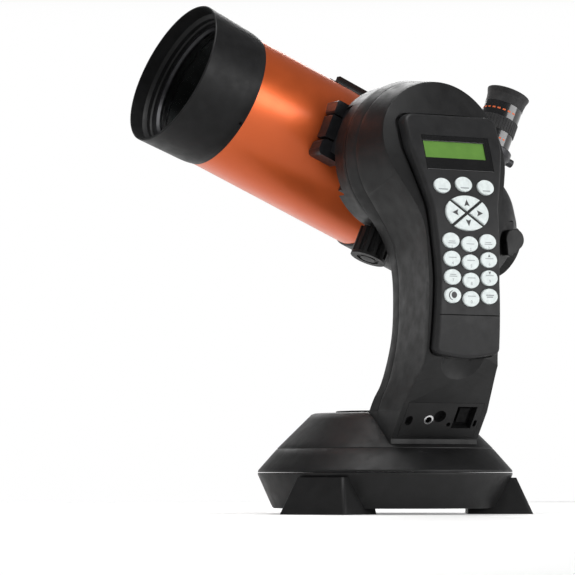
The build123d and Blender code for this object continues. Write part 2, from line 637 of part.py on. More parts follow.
# ---------------------------------------------------------------- hand control outline
HC_CORNERS = [          # half width, height and corner radius, from the top down
    (43.8, 324.0, 9.0), (44.0, 296.0, 45.0), (31.8, 247.0, 60.0), (29.0, 190.0, 150.0),
    (30.8, 129.0, 6.0),
]
HC_BOTTOM = (124.6, 80.0)


def hc_outline(grow):
    """Outline of the hand control seen from the arm side, on the plane y = 0."""
    right = list(HC_CORNERS)
    left = [(-x, z, r) for x, z, r in right[::-1]]
    corners = right + [(0.0, *HC_BOTTOM)] + left
    with BuildSketch(Plane.XZ) as outline:
        with BuildLine():
            FilletPolyline(*[(x, z) for x, z, r in corners], radius=[r for x, z, r in corners],
                           close=True)
        make_face()
        if grow:
            offset(amount=grow, mode=Mode.REPLACE)
    return outline.sketch


def curved_slab(outline, inner_r, outer_r, mode=Mode.ADD):
    """Outline swept towards -Y and kept between two arcs about the crown centre."""
    with BuildPart(mode=Mode.PRIVATE) as slab:
        extrude(outline, amount=160)
        with BuildSketch(Plane.YZ) as ring:
            with Locations(CROWN_CENTRE):
                Circle(outer_r)
                Circle(inner_r, mode=Mode.SUBTRACT)
            with Locations((CROWN_CENTRE[0] + 100, CROWN_CENTRE[1])):
                Rectangle(600, 1200, mode=Mode.SUBTRACT)
        extrude(ring.sketch, amount=90, both=True, mode=Mode.INTERSECT)
    add(slab.part, mode=mode)


def face_plane(height, radius=HC_FACE_R):
    """Plane touching the curved front at a height: sketch x is +X, sketch y runs up the face."""
    centre_y, centre_z = CROWN_CENTRE
    rise = (height - centre_z) / radius
    run = sqrt(1 - rise * rise)
    return Plane(
        origin=(0, centre_y - radius * run, height), x_dir=(1, 0, 0), z_dir=(0, -run, rise)
    )


# thumb scoop: a shallow dish in the slope, half of it hidden behind the hand control
SCOOP_R = 31.0
SCOOP_LIFT = 24.0       # its centre stands this far in front of the slope
SCOOP_Z = 125.0


def scoop_ball(grow, mode=Mode.ADD):
    run = (SCOOP_Z - PANEL_LOW[1]) / PANEL_SLOPE.Z
    outward = Vector(0, -PANEL_SLOPE.Z, PANEL_SLOPE.Y)
    centre = Vector(0, *PANEL_LOW) + PANEL_SLOPE * run + outward * SCOOP_LIFT
    with Locations(centre):
        Sphere(SCOOP_R + grow, mode=mode)


HC_POCKET_R = HC_BACK_R - 0.8
HC_POCKET_GROW = 1.2
BACK_BOSS_R = 20.0

# ---------------------------------------------------------------- arm shells
arm_full = arm_volume(0)
arm_hollow = arm_volume(ARM_WALL)

with BuildPart() as arm_outer_shell:
    add(arm_full)
    add(arm_hollow, mode=Mode.SUBTRACT)
    # floor and walls of the hand control's tray and of the thumb scoop under it
    with BuildPart(mode=Mode.PRIVATE) as tray:
        curved_slab(hc_outline(HC_POCKET_GROW + 3.0), HC_POCKET_R - 3.0, SKIN_R)
        curved_slab(hc_outline(3.0 - HC_BELLY_IN), HC_BELLY_R - 3.8, HC_POCKET_R)
        scoop_ball(3.0)
        add(arm_full, mode=Mode.INTERSECT)
    add(tray.part)
    curved_slab(hc_outline(HC_POCKET_GROW), HC_POCKET_R, SKIN_R + 40, Mode.SUBTRACT)
    curved_slab(hc_outline(0.8 - HC_BELLY_IN), HC_BELLY_R - 0.8, SKIN_R, Mode.SUBTRACT)
    scoop_ball(0, Mode.SUBTRACT)
    # seat of the connector panel in the undercut
    panel_plane = Plane(
        origin=(0, (PANEL_LOW[0] + PANEL_HIGH[0]) / 2, (PANEL_LOW[1] + PANEL_HIGH[1]) / 2),
        x_dir=(1, 0, 0), z_dir=(0, -PANEL_SLOPE.Z, PANEL_SLOPE.Y),
    )
    block(panel_plane.offset(1.0), PANEL_W + 0.4, PANEL_H + 0.4, -12.0, Mode.SUBTRACT)
    split(bisect_by=Plane.XZ.offset(-ARM_SPLIT_Y), keep=Keep.TOP)
finish(arm_outer_shell, "arm_outer_shell")

with BuildPart() as arm_inner_shell:
    add(arm_full)
    add(arm_hollow, mode=Mode.SUBTRACT)
    split(bisect_by=Plane.XZ.offset(-ARM_SPLIT_Y - 0.01), keep=Keep.BOTTOM)
    # bearing of the altitude shaft and the shallow recess that the saddle disc turns over
    rod(Plane(origin=(0, SEAM_Y - 1.0, ALT_HEIGHT), x_dir=(1, 0, 0), z_dir=(0, -1, 0)),
        BACK_BOSS_R, 12.0)
    rod(Plane(origin=(0, SEAM_Y + 2.0, ALT_HEIGHT), x_dir=(1, 0, 0), z_dir=(0, -1, 0)),
        SHAFT_R + RUNNING, 40.0, Mode.SUBTRACT)
finish(arm_inner_shell, "arm_inner_shell")

# connector panel: serial, guider and hand control sockets, power jack and two screw wells
with BuildPart() as port_panel:
    block(panel_plane, PANEL_W, PANEL_H, -2.4)
    block(panel_plane.offset(-2.4), 66.0, 27.0, -6.0)
    rod(panel_plane, 5.6, -5.0, Mode.SUBTRACT, at=((-2.4, 3.4),))
    rod(panel_plane, 4.3, -7.6, Mode.SUBTRACT, at=(JACK_AT,))
    block(panel_plane, 18.6, 21.0, -6.8, Mode.SUBTRACT, at=((21.2, 2.6),))
    rod(panel_plane, 2.0, -5.0, Mode.SUBTRACT, at=((8.4, -4.4),))
    with BuildSketch(panel_plane):
        with Locations((-30.4, -1.0)):
            SlotOverall(9.0, 6.4, rotation=90)
        with Locations((33.2, -3.0)):
            SlotOverall(6.4, 3.0, rotation=90)
    extrude(amount=-5.0, mode=Mode.SUBTRACT)
finish(port_panel, "port_panel")

with BuildPart() as power_jack:
    with BuildSketch(panel_plane.offset(-7.6)):
        with Locations(JACK_AT):
            Circle(4.3)
            Circle(2.9, mode=Mode.SUBTRACT)
    extrude(amount=7.9)
finish(power_jack, "power_jack")

with BuildPart() as power_switch:
    with BuildSketch(panel_plane.offset(-6.5)):
        with Locations((21.2, 2.6)):
            Rectangle(9.0, 14.0)
    extrude(amount=3.4)
    fillet(power_switch.edges().filter_by(Axis.X), 1.2)
finish(power_switch, "power_switch")

# ================================================================ base
with BuildPart() as base_cover:
    with BuildSketch(Plane.XZ) as half:
        with BuildLine():
            Polyline(
                (HUB_R + RUNNING, 40.0), (95.6, 40.0), (95.6, 36.4), (BASE_CREASE_R - 2.4, 34.6),
                (BASE_CREASE_R, 34.6), (106.0, 36.2), (90.8, 53.4), (89.9, 53.8), (89.9, 54.6),
                (61.6, 82.4), (59.0, 83.4), (0, 85.4), (0, 82.2), (58.0, 80.2), (86.6, 52.0),
                (95.6, 42.4), (HUB_R + RUNNING, 43.0), close=True,
            )
        make_face()
    revolve(half.sketch, axis=Axis.Z)
    # step that the arm stands in
    with BuildSketch(Plane.XY.offset(ARM_FOOT_Z)) as footprint:
        with Locations((0, SEAM_Y - 60.0)):
            Rectangle(2 * ARM_FOOT_HALF + 0.2, 120.0)
    extrude(footprint.sketch, amount=40.0, mode=Mode.SUBTRACT)
    with BuildSketch(Plane.XY.offset(ARM_FOOT_Z - 3.0)) as ledge:
        Circle(88.0)
        with Locations((0, SEAM_Y + 1.5 + 100)):
            Rectangle(240.0, 200.0, mode=Mode.SUBTRACT)
        with Locations((ARM_FOOT_HALF + 60 + 1.6, 0), (-ARM_FOOT_HALF - 60 - 1.6, 0)):
            Rectangle(120.0, 240.0, mode=Mode.SUBTRACT)
    extrude(ledge.sketch, amount=3.0)
    block(Plane(origin=(0, SEAM_Y + 0.1, 69.4), x_dir=(1, 0, 0), z_dir=(0, 1, 0)),
          2 * ARM_FOOT_HALF + 3.2, 24.0, 2.6)
    with BuildSketch(Plane.XZ) as outside:
        with BuildLine():
            Polyline((90.4, 54.0), (61.6, 82.5), (59.0, 83.5), (0, 85.5), (0, 120), (140, 120),
                     (140, 54.0), close=True)
        make_face()
    revolve(outside.sketch, axis=Axis.Z, mode=Mode.SUBTRACT)
    # battery compartment: round mouth, skirt and floor
    lid_plane = Plane(origin=(0, BATTERY_LID_Y, 0))
    rod(lid_plane.offset(49.0), BATTERY_LID_R + 3.0, 32.6)
    rod(lid_plane.offset(51.0), BATTERY_LID_R - 1.6, 40.0, Mode.SUBTRACT)
    rod(lid_plane.offset(80.4), BATTERY_LID_R + GAP, 20.0, Mode.SUBTRACT)
finish(base_cover, "base_cover")

with BuildPart() as battery_lid:
    rod(lid_plane.offset(80.7), BATTERY_LID_R, 4.9)
    fillet(battery_lid.edges().group_by(Axis.Z)[-1], 1.0)
    with BuildSketch(lid_plane.offset(83.4)):
        with Locations((0, 18.0), (0, -18.0)):
            SlotOverall(26.0, 9.0)
    extrude(amount=4.0, mode=Mode.SUBTRACT)
finish(battery_lid, "battery_lid")

CELL_R = 7.1
with BuildPart() as battery_pack:
    tray_plane = lid_plane.offset(51.0)
    block(tray_plane, 62.0, 32.0, 3.0)
    for x in (-21.75, -7.25, 7.25, 21.75):
        for level in (8.1, 22.2):
            rod(Plane(origin=(x, BATTERY_LID_Y - 16.0, 51.0 + level),
                      x_dir=(1, 0, 0), z_dir=(0, 1, 0)), CELL_R, 32.0)
    block(tray_plane, 44.0, 30.0, 24.0)
finish(battery_pack, "battery_pack")


def pod(angle):
    """Foot block: tapered, wider and further out at the floor than at its top."""
    turn = radians(angle)
    radial = Vector(cos(turn), sin(turn), 0)
    tangent = Vector(-sin(turn), cos(turn), 0)
    with BuildPart(mode=Mode.PRIVATE) as foot:
        low_plane = Plane(origin=radial * 122.0, x_dir=tangent, z_dir=(0, 0, 1))
        high_plane = Plane(origin=radial * 108.5 + Vector(0, 0, 30.0), x_dir=tangent,
                           z_dir=(0, 0, 1))
        with BuildSketch(low_plane) as low:
            with Locations((0, 27.0)):
                RectangleRounded(62.0, 54.0, 3.0)
        with BuildSketch(high_plane) as high:
            with Locations((0, 20.5)):
                RectangleRounded(45.0, 41.0, 3.0)
        loft([low.sketch, high.sketch])
    return foot.part


def ring_solid(points):
    """Revolve (radius, z) points about the azimuth axis."""
    with BuildSketch(Plane.XZ) as half:
        with BuildLine():
            Polyline(*points, close=True)
        make_face()
    revolve(half.sketch, axis=Axis.Z)


with BuildPart() as housing_cavity:
    ring_solid([
        (0, BASE_BOTTOM_Z + 3.0), (91.6, BASE_BOTTOM_Z + 3.0), (102.0, 30.8), (0, 30.8),
    ])
    for angle in POD_ANGLES:
        add(pod(angle), mode=Mode.SUBTRACT)

with BuildPart() as base_housing:
    ring_solid([
        (0, BASE_BOTTOM_Z), (93.0, BASE_BOTTOM_Z), (94.4, BASE_BOTTOM_Z + 1.2), (105.9, 31.6),
        (BASE_CREASE_R, 32.4), (BASE_CREASE_R, BASE_CREASE_Z), (0, BASE_CREASE_Z),
    ])
    for angle in POD_ANGLES:
        add(pod(angle))
    add(housing_cavity.part, mode=Mode.SUBTRACT)
    # mouth of the bottom plate and seat of the hub
    rod(Plane.XY, 60.0, 12.0, Mode.SUBTRACT)
    rod(Plane.XY.offset(25.0), 20.0, 12.0, Mode.SUBTRACT)
    with BuildSketch(Plane.XY):
        with PolarLocations(BOLT_CIRCLE_R, 3, start_angle=POD_ANGLES[0]):
            Circle(BOLT_HOLE_R)
    extrude(amount=16.0, mode=Mode.SUBTRACT)
    with BuildSketch(Plane.XY):
        with PolarLocations(106.0, 3, start_angle=POD_ANGLES[0]):
            Circle(9.0)
    extrude(amount=2.5, mode=Mode.SUBTRACT)
finish(base_housing, "base_housing")

with BuildPart() as rubber_feet:
    with BuildSketch(Plane.XY):
        with PolarLocations(106.0, 3, start_angle=POD_ANGLES[0]):
            Circle(9.0)
    extrude(amount=2.5)
finish(rubber_feet, "rubber_feet")

with BuildPart() as bottom_plate:
    rod(Plane.XY.offset(BASE_BOTTOM_Z), 59.8, 3.0)
    for angle in (30.0, 150.0, 270.0):
        turn = radians(angle)
        rod(Plane(origin=(52 * cos(turn), 52 * sin(turn), BASE_BOTTOM_Z)), 1.8, 5.0,
            Mode.SUBTRACT)
finish(bottom_plate, "bottom_plate")

with BuildPart() as azimuth_hub:
    with BuildSketch(Plane.XZ) as half:
        with BuildLine():
            Polyline(
                (6.0, BASE_BOTTOM_Z + 3.0), (24.0, BASE_BOTTOM_Z + 3.0), (24.0, 12.0), (16.0, 14.0),
                (16.0, 24.0), (20.0, 28.0), (20.0, BASE_CREASE_Z), (24.0, BASE_CREASE_Z),
                (24.0, 39.7), (HUB_R, 39.7), (HUB_R, 43.3), (23.0, 43.3), (23.0, 46.5),
                (6.0, 46.5), close=True,
            )
        make_face()
    revolve(half.sketch, axis=Axis.Z)
finish(azimuth_hub, "azimuth_hub")

# ================================================================ hand control
KEY_W, KEY_H, KEY_PROUD, KEY_SUNK = 15.6, 12.6, KEY_TRAVEL + 0.7, 3.2
KEY_FIT = 0.35
TOP_ROW = [("align", -20.6, 264.2), ("enter", 0.0, 266.0), ("undo", 20.6, 264.2)]
NUMBER_ROWS_Z = (219.6, 204.9, 190.2, 175.5)
NUMBER_X = (-17.4, 0.0, 17.4)
MIDDLE_DROP = 2.4
PAD_Z, PAD_W, PAD_H, PAD_SLIT = 242.4, 40.6, 29.0, 2.4
PAD_TURNS = ("up", "down", "left", "right")
LCD_Z = 292.0
GROOVE_Z = 160.0

key_places = {}
for label, x, z in TOP_ROW:
    key_places[f"key_{label}"] = (x, z)
digits = [["1", "2", "3"], ["4", "5", "6"], ["7", "8", "9"], ["info", "0", "menu"]]
for row_names, row_z in zip(digits, NUMBER_ROWS_Z):
    for name, x in zip(row_names, NUMBER_X):
        key_places[f"key_{name}"] = (x, row_z - (MIDDLE_DROP if x == 0 else 0))


def pad_quarter(plane, turn, grow=0.0):
    """One arrow of the oval pad: the quarter of the ellipse that faces the given direction."""
    with BuildSketch(plane) as quarter:
        Ellipse(PAD_W / 2 + grow, PAD_H / 2 + grow)
        corner = atan2(PAD_H, PAD_W)
        reach = 60.0
        wedge = {
            "right": (-corner, corner), "up": (corner, radians(180) - corner),
            "left": (radians(180) - corner, radians(180) + corner),
            "down": (radians(180) + corner, radians(360) - corner),
        }[turn]
        middle = sum(wedge) / 2
        open_half = (wedge[1] - wedge[0]) / 2
        apex = (PAD_SLIT / 2 - grow) / sin(open_half)
        tip = (apex * cos(middle), apex * sin(middle))
        with BuildLine():
            Polyline(
                tip, (tip[0] + reach * cos(wedge[0]), tip[1] + reach * sin(wedge[0])),
                (tip[0] + reach * cos(middle), tip[1] + reach * sin(middle)),
                (tip[0] + reach * cos(wedge[1]), tip[1] + reach * sin(wedge[1])), close=True,
            )
        make_face(mode=Mode.INTERSECT)
    return quarter.sketch


with BuildPart() as hc_front_shell:
    curved_slab(hc_outline(0), HC_SEAM_R, HC_FACE_R)
    rim = hc_front_shell.faces().filter_by(GeomType.CYLINDER).sort_by(Axis.Y)[0]
    fillet(rim.edges(), 3.2)
    curved_slab(hc_outline(-HC_WALL - 0.6), HC_SEAM_R - 1, HC_FACE_R - HC_WALL, Mode.SUBTRACT)
    for x, z in key_places.values():
        with BuildSketch(face_plane(z)) as hole:
            with Locations((x, 0)):
                Ellipse(KEY_W / 2 + KEY_FIT, KEY_H / 2 + KEY_FIT)
        extrude(hole.sketch, amount=8, both=True, mode=Mode.SUBTRACT)
    for turn in PAD_TURNS:
        hole = pad_quarter(face_plane(PAD_Z), turn, KEY_FIT)
        extrude(hole, amount=8, both=True, mode=Mode.SUBTRACT)
    block(face_plane(LCD_Z).offset(6), 64.0, 30.4, -14.0, Mode.SUBTRACT)
    # parting groove between the keypad and the plain end of the face
    block(face_plane(GROOVE_Z).offset(1.0), 90.0, 0.8, -1.6, Mode.SUBTRACT)
finish(hc_front_shell, "hc_front_shell")

with BuildPart() as hc_back_shell:
    curved_slab(hc_outline(-0.8), HC_BACK_R, HC_SEAM_R)
    heel = hc_back_shell.faces().filter_by(GeomType.CYLINDER).sort_by(Axis.Y)[-1]
    fillet(heel.edges(), 1.6)
    curved_slab(hc_outline(-HC_BELLY_IN), HC_BELLY_R, HC_BACK_R + 1)
    curved_slab(hc_outline(-HC_WALL - 0.6), HC_BACK_R + HC_WALL, HC_SEAM_R + 1, Mode.SUBTRACT)
    curved_slab(hc_outline(-HC_WALL - HC_BELLY_IN), HC_BELLY_R + HC_WALL, HC_SEAM_R, Mode.SUBTRACT)
finish(hc_back_shell, "hc_back_shell")

with BuildPart() as lcd_window:
    block(face_plane(LCD_Z).offset(-0.2), 63.6, 30.0, -5.0)
    block(face_plane(LCD_Z), 57.6, 14.6, -2.2, Mode.SUBTRACT, at=((-2.4, 2.8),))
finish(lcd_window, "lcd_window")

with BuildPart() as lcd_display:
    block(face_plane(LCD_Z).offset(-2.2), 57.4, 14.4, 1.2, at=((-2.4, 2.8),))
finish(lcd_display, "lcd_display")

for name, (x, z) in key_places.items():
    plane = face_plane(z)
    with BuildPart() as key:
        with BuildSketch(plane.offset(-KEY_SUNK)) as oval:
            with Locations((x, 0)):
                Ellipse(KEY_W / 2, KEY_H / 2)
        extrude(oval.sketch, amount=KEY_SUNK + KEY_PROUD)
        fillet(key.edges().sort_by(Axis(plane.origin, plane.z_dir))[-1], 0.9)
    finish(key, name)

for turn in PAD_TURNS:
    plane = face_plane(PAD_Z)
    with BuildPart() as key:
        extrude(pad_quarter(plane.offset(-KEY_SUNK), turn), amount=KEY_SUNK + KEY_PROUD)
        top = key.faces().sort_by(Axis(plane.origin, plane.z_dir))[-1]
        chamfer(top.edges(), 0.6)
    finish(key, f"key_{turn}")
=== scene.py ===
"""Finishes, small printed marks, light and camera for the Maksutov telescope."""
import json
from math import cos, pi, radians, sin

import bmesh
import bpy
from mathutils import Matrix, Vector


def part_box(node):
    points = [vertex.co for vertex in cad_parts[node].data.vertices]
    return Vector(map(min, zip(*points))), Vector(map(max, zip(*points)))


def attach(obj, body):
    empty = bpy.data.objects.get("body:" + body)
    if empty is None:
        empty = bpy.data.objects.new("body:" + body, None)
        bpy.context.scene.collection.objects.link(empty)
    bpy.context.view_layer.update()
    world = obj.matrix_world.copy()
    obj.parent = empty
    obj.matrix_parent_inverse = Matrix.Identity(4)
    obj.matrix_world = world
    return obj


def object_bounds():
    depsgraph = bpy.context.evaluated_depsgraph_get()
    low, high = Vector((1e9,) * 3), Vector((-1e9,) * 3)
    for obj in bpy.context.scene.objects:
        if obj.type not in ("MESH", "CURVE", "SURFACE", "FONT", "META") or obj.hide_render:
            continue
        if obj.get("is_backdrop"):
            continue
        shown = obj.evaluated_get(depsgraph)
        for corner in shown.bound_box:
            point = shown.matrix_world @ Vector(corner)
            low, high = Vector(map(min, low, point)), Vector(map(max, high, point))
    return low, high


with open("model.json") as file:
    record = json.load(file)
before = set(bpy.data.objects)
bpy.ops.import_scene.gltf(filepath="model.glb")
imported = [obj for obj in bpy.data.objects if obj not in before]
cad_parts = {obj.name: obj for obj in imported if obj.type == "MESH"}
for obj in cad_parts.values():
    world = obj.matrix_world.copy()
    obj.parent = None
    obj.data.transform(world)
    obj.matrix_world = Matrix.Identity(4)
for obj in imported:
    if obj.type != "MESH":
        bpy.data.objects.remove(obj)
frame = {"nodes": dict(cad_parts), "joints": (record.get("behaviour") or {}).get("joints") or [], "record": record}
CAD_LOW, CAD_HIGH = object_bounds()
NODES = frame["nodes"]
MM = 0.001

# ------------------------------------------------------------------ the tube's own directions
FOCUS_AXIS = next(j["axis"] for j in frame["joints"] if j["name"] == "tube_slide")
EYEPIECE_AXIS = next(j["axis"] for j in frame["joints"] if j["name"] == "eyepiece_lift")
AHEAD = Vector(FOCUS_AXIS).normalized()
ABOVE = Vector(EYEPIECE_AXIS).normalized()


# ------------------------------------------------------------------ materials
class Finish:
    """A Principled shader with helpers for procedural colour, roughness and bump."""

    def __init__(self, name, roughness, metallic=0.0, **sockets):
        self.material = bpy.data.materials.new(name)
        self.material.use_nodes = True
        self.tree = self.material.node_tree
        self.shader = self.tree.nodes["Principled BSDF"]
        self.shader.inputs["Roughness"].default_value = roughness
        self.shader.inputs["Metallic"].default_value = metallic
        for socket, value in sockets.items():
            self.shader.inputs[socket.replace("_", " ")].default_value = value
        place = self.tree.nodes.new("ShaderNodeTexCoord")
        self.place = place.outputs["Object"]
        self.bumps = None

    def node(self, kind, **inputs):
        made = self.tree.nodes.new(kind)
        for socket, value in inputs.items():
            target = made.inputs[socket.replace("_", " ")]
            if isinstance(value, bpy.types.NodeSocket):
                self.tree.links.new(value, target)
            else:
                target.default_value = value
        return made

    def noise(self, size_mm, detail=2.0, stretch=None):
        """Noise whose grains are about size_mm across."""
        where = self.place
        if stretch:
            mapping = self.node("ShaderNodeMapping", Vector=self.place)
            mapping.inputs["Scale"].default_value = stretch
            where = mapping.outputs["Vector"]
        made = self.node("ShaderNodeTexNoise", Vector=where, Scale=1 / (size_mm * MM), Detail=detail)
        return made.outputs["Fac"]

    def ramp(self, fac, stops):
        made = self.node("ShaderNodeValToRGB", Fac=fac)
        elements = made.color_ramp.elements
        for spot, (position, colour) in zip([elements[0], elements[-1]], [stops[0], stops[-1]]):
            spot.position, spot.color = position, (*colour, 1)
        for position, colour in stops[1:-1]:
            elements.new(position).color = (*colour, 1)
        return made.outputs["Color"]

    def colour(self, dark, light, size_mm, detail=3.0, low=0.35, high=0.65, stretch=None):
        fac = self.noise(size_mm, detail, stretch)
        self.tree.links.new(self.ramp(fac, [(low, dark), (high, light)]),
                            self.shader.inputs["Base Color"])
        return self

    def rough(self, low, high, size_mm, stretch=None):
        fac = self.noise(size_mm, 3.0, stretch)
        spread = self.node("ShaderNodeMapRange", Value=fac, From_Min=0.3, From_Max=0.7,
                           To_Min=low, To_Max=high)
        self.tree.links.new(spread.outputs["Result"], self.shader.inputs["Roughness"])
        return self

    def bump(self, size_mm, height_mm, detail=2.0, stretch=None, height=None):
        fac = height or self.noise(size_mm, detail, stretch)
        made = self.node("ShaderNodeBump", Height=fac, Distance=height_mm * MM)
        if self.bumps:
            self.tree.links.new(self.bumps, made.inputs["Normal"])
        self.bumps = made.outputs["Normal"]
        self.tree.links.new(self.bumps, self.shader.inputs["Normal"])
        return self


def orange_paint():
    """Metallic orange under clear lacquer, with flake and a faint orange peel."""
    paint = Finish("orange_paint", 0.36, 0.72, Coat_Weight=0.3, Coat_Roughness=0.2)
    paint.colour((0.56, 0.092, 0.017), (0.68, 0.122, 0.024), 0.16, 2.0)
    paint.rough(0.34, 0.42, 18.0)
    return paint.bump(1.6, 0.004)


def cast_black():
    """Satin black enamel over cast metal."""
    enamel = Finish("cast_black", 0.44, 0.0, Specular_IOR_Level=0.18)
    enamel.colour((0.0058, 0.0058, 0.0061), (0.0086, 0.0086, 0.0091), 9.0)
    enamel.rough(0.4, 0.52, 7.0)
    return enamel.bump(0.55, 0.018, 3.0).bump(4.0, 0.02)


def moulded_black():
    """Spark-textured black plastic of the arm and base."""
    plastic = Finish("moulded_black", 0.46, 0.0, Specular_IOR_Level=0.25)
    plastic.colour((0.0062, 0.0062, 0.0064), (0.0092, 0.0092, 0.0095), 14.0)
    plastic.rough(0.42, 0.56, 11.0)
    return plastic.bump(0.5, 0.03, 4.0).bump(0.16, 0.01)


def handset_grey():
    """Dark grey plastic of the hand control, a shade lighter than the arm."""
    plastic = Finish("handset_grey", 0.5, 0.0, Specular_IOR_Level=0.25)
    plastic.colour((0.0092, 0.0092, 0.0097), (0.0128, 0.0128, 0.0134), 10.0)
    plastic.rough(0.44, 0.56, 8.0)
    return plastic.bump(0.42, 0.022, 4.0)


def gloss_black(name="gloss_black", tone=0.008):
    lacquer = Finish(name, 0.12, 0.0, Coat_Weight=0.4, Coat_Roughness=0.04)
    lacquer.colour((tone, tone, tone * 1.1), (tone * 1.5, tone * 1.5, tone * 1.6), 20.0)
    lacquer.rough(0.09, 0.17, 6.0)
    return lacquer.bump(2.2, 0.003)


def anodised_black():
    """Turned aluminium, black anodised, with fine tool lines."""
    metal = Finish("anodised_black", 0.34, 0.55)
    metal.colour((0.016, 0.016, 0.018), (0.026, 0.026, 0.029), 5.0)
    metal.rough(0.28, 0.42, 3.0)
    return metal.bump(0.3, 0.008, 3.0)


def soft_rubber():
    rubber = Finish("soft_rubber", 0.72, 0.0, Specular_IOR_Level=0.3, Sheen_Weight=0.12)
    rubber.colour((0.013, 0.013, 0.0135), (0.022, 0.022, 0.0225), 6.0)
    rubber.rough(0.62, 0.8, 5.0)
    return rubber.bump(0.7, 0.03, 4.0)


def bare_metal(name, dark, light, low, high, grain_mm=0.5):
    metal = Finish(name, low, 1.0)
    metal.colour(dark, light, 3.0)
    metal.rough(low, high, grain_mm * 3)
    return metal.bump(grain_mm, 0.004, 3.0)


def coated_glass(name, tint):
    glass = Finish(name, 0.02, 0.0, Transmission_Weight=1.0, IOR=1.5, Specular_IOR_Level=0.3)
    glass.colour(tuple(0.93 * t for t in tint), tint, 60.0)
    return glass.rough(0.01, 0.035, 25.0)


def silvered():
    mirror = Finish("silvered", 0.03, 1.0)
    mirror.colour((0.86, 0.87, 0.88), (0.92, 0.92, 0.93), 40.0)
    return mirror.rough(0.02, 0.05, 20.0)


def display_green():
    """Reflective liquid-crystal panel: yellow-green with a fine dot grid and a soft glow."""
    panel = Finish("display_green", 0.22, 0.0, Specular_IOR_Level=0.5)
    panel.colour((0.065, 0.140, 0.026), (0.080, 0.168, 0.032), 14.0)
    grid = panel.node("ShaderNodeTexVoronoi", Vector=panel.place, Scale=1 / (0.55 * MM))
    grid.inputs["Randomness"].default_value = 0.0
    panel.bump(0, 0.008, height=grid.outputs["Distance"])
    panel.shader.inputs["Emission Color"].default_value = (0.2, 0.45, 0.09, 1)
    panel.shader.inputs["Emission Strength"].default_value = 0.16
    return panel


def key_grey():
    """Translucent light grey of the moulded key caps."""
    caps = Finish("key_grey", 0.42, 0.0, Specular_IOR_Level=0.45, Subsurface_Weight=0.1)
    caps.shader.inputs["Subsurface Radius"].default_value = (0.0012, 0.0012, 0.0011)
    caps.colour((0.56, 0.61, 0.605), (0.64, 0.69, 0.685), 3.0)
    caps.rough(0.36, 0.5, 4.0)
    return caps.bump(0.3, 0.008, 3.0)


def printed(name, tone):
    ink = Finish(name, 0.6)
    return ink.colour(tuple(t * 0.85 for t in tone), tone, 0.4).rough(0.52, 0.68, 0.8)


def studio_floor():
    floor = Finish("studio_floor", 0.55, 0.0, Emission_Strength=0.22)
    floor.colour((0.78, 0.78, 0.775), (0.81, 0.81, 0.805), 400.0)
    return floor.rough(0.5, 0.6, 200.0)


SILVER = ((0.50, 0.50, 0.51), (0.62, 0.62, 0.63))
FINISHES = {
    "orange_tube": orange_paint(),
    "black_cast": cast_black(),
    "black_plastic": moulded_black(),
    "hand_control_plastic": handset_grey(),
    "gloss_black": gloss_black(),
    "rubber": soft_rubber(),
    "steel": bare_metal("machined_steel", *SILVER, 0.28, 0.4),
    "chrome": bare_metal("bright_chrome", (0.72, 0.72, 0.73), (0.8, 0.8, 0.81), 0.06, 0.12),
    "aluminium": bare_metal("turned_aluminium", (0.55, 0.55, 0.56), (0.66, 0.66, 0.67), 0.24, 0.36),
    "black_aluminium": anodised_black(),
    "glass": coated_glass("coated_glass", (0.80, 0.90, 0.88)),
    "mirror": silvered(),
    "lcd": display_green(),
    "key": key_grey(),
    "battery": bare_metal("battery_sleeve", (0.16, 0.17, 0.19), (0.22, 0.23, 0.25), 0.34, 0.46),
}
DARK_INK = printed("dark_ink", (0.035, 0.035, 0.037))
GREY_INK = printed("grey_ink", (0.24, 0.26, 0.27))
ORANGE_INK = printed("orange_ink", (0.62, 0.11, 0.02))
SCREW_STEEL = bare_metal("blackened_steel", (0.06, 0.06, 0.062), (0.1, 0.1, 0.104), 0.3, 0.42)

# flat black for the blackened inside of the tube and the corrector's ground edge; the same black is also painted
# shade in the hand control's groove, inside the panel's sockets and on the power switch in its well
BAFFLE_AND_SHADE_BLACK = Finish("baffle_and_painted_shade_black", 0.8, 0.0, Specular_IOR_Level=0.1)
BAFFLE_AND_SHADE_BLACK.colour((0.004, 0.004, 0.0042), (0.007, 0.007, 0.0073), 5.0).rough(0.74, 0.86, 4.0)
# painted shade: the power switch is made flat black for the deep shade in its well
SPECIAL = {"lcd_window": gloss_black("window_gloss", 0.0045), "power_switch": BAFFLE_AND_SHADE_BLACK}
for row in frame["record"]["subparts"]:
    chosen = SPECIAL.get(row["node"], FINISHES[row["material_slot"]])
    data = NODES[row["node"]].data
    data.materials.clear()
    data.materials.append(chosen.material)

# flat black inside the tube, behind its orange skin
tube_mesh = NODES["main_tube"].data
tube_mesh.materials.append(BAFFLE_AND_SHADE_BLACK.material)
ring_low, ring_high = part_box("retaining_ring")
on_axis = (ring_low + ring_high) / 2
for face in tube_mesh.polygons:
    outwards = face.center - on_axis
    outwards -= AHEAD * outwards.dot(AHEAD)
    if face.normal.dot(outwards) < 0:
        face.material_index = 1

# the corrector's ground edge is blackened
lens_mesh = NODES["corrector_lens"].data
lens_mesh.materials.append(BAFFLE_AND_SHADE_BLACK.material)
for face in lens_mesh.polygons:
    if abs(face.normal.dot(AHEAD)) < 0.5:
        face.material_index = 1

# shadow black in the parting groove across the hand control: long low faces in this band of heights
GROOVE_BAND = (0.158, 0.162)
GROOVE_FACE_TALL = 1.2
GROOVE_FACE_HALF = 15
groove_mesh = NODES["hc_front_shell"].data
groove_mesh.materials.append(BAFFLE_AND_SHADE_BLACK.material)
for face in groove_mesh.polygons:
    corners = [groove_mesh.vertices[i].co for i in face.vertices]
    top_z = max(corner.z for corner in corners)
    bottom_z = min(corner.z for corner in corners)
    reach = max(corner.x for corner in corners) - face.center.x
    in_band = GROOVE_BAND[0] < bottom_z and top_z < GROOVE_BAND[1]
    if in_band and reach > GROOVE_FACE_HALF * MM and top_z - bottom_z < GROOVE_FACE_TALL * MM:
        face.material_index = 1
